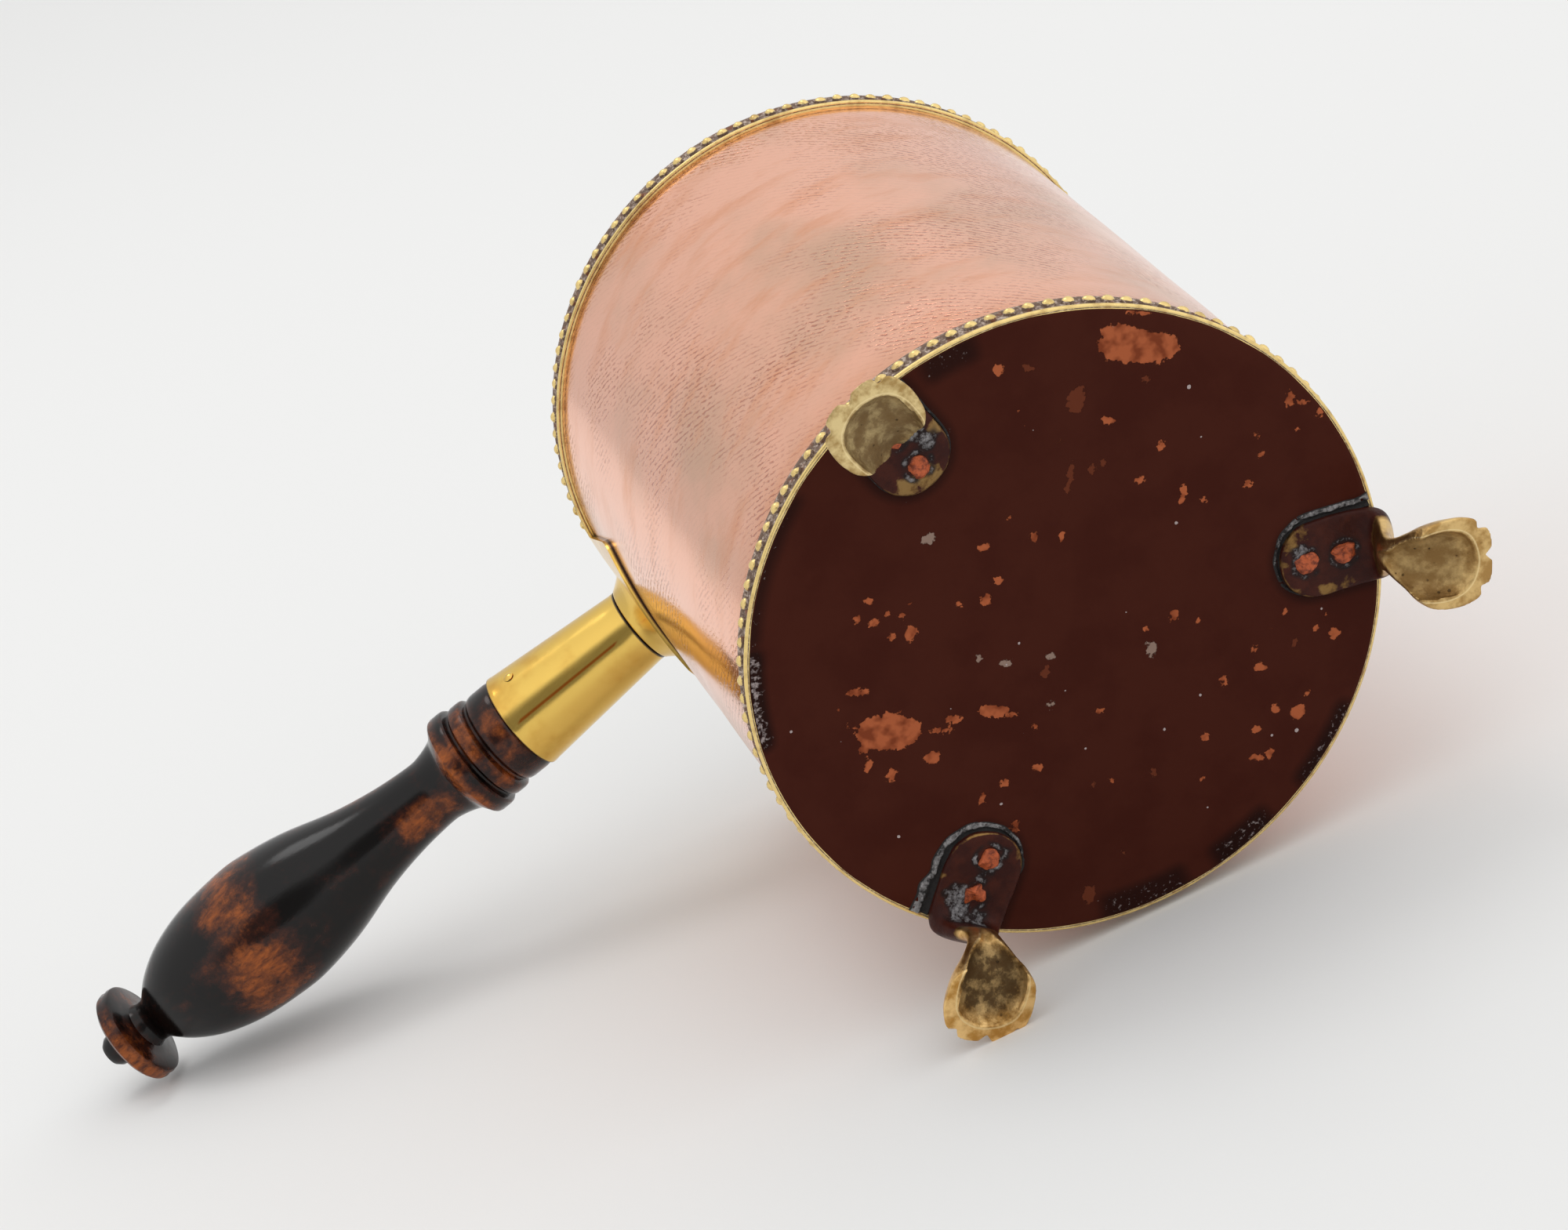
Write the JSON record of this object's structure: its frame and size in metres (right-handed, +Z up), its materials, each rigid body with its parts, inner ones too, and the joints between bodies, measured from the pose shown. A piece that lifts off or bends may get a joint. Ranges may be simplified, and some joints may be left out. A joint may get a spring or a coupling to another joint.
{
  "type": "saucepan",
  "caption": "Nearly straight-sided copper saucepan on cast shell feet, with beaded brass borders, a brass handle socket and a turned wooden grip.",
  "frame": {"origin": "centre of the base plate's flat outer face, on the pan's axis; the feet reach below it", "axes": "+Z up the pan's axis to the mouth, +X towards the handle, +Y to the side that has one foot square to the handle"},
  "size_m": [0.2855, 0.1395, 0.1818],
  "materials": {
    "copper_wall": "polished copper with light tarnish",
    "painted_base": "dark brown paint over copper, chipped",
    "border_brass": "pressed brass strip with dark grime",
    "cast_brass": "cast brass, worn",
    "rivet_copper": "hammered copper",
    "sheet_brass": "polished",
    "lacquered_wood": "near-black lacquer, worn through to brown"
  },
  "bodies": {
    "root": {"body_wall": "copper_wall", "base_plate": "painted_base", "mouth_border": "border_brass", "base_border": "border_brass", "foot_side": "cast_brass", "foot_far": "cast_brass", "foot_near": "cast_brass", "foot_rivets": "rivet_copper", "handle_plate": "sheet_brass", "ferrule": "sheet_brass", "ferrule_pin": "sheet_brass", "handle_grip": "lacquered_wood"}
  },
  "joints": []
}
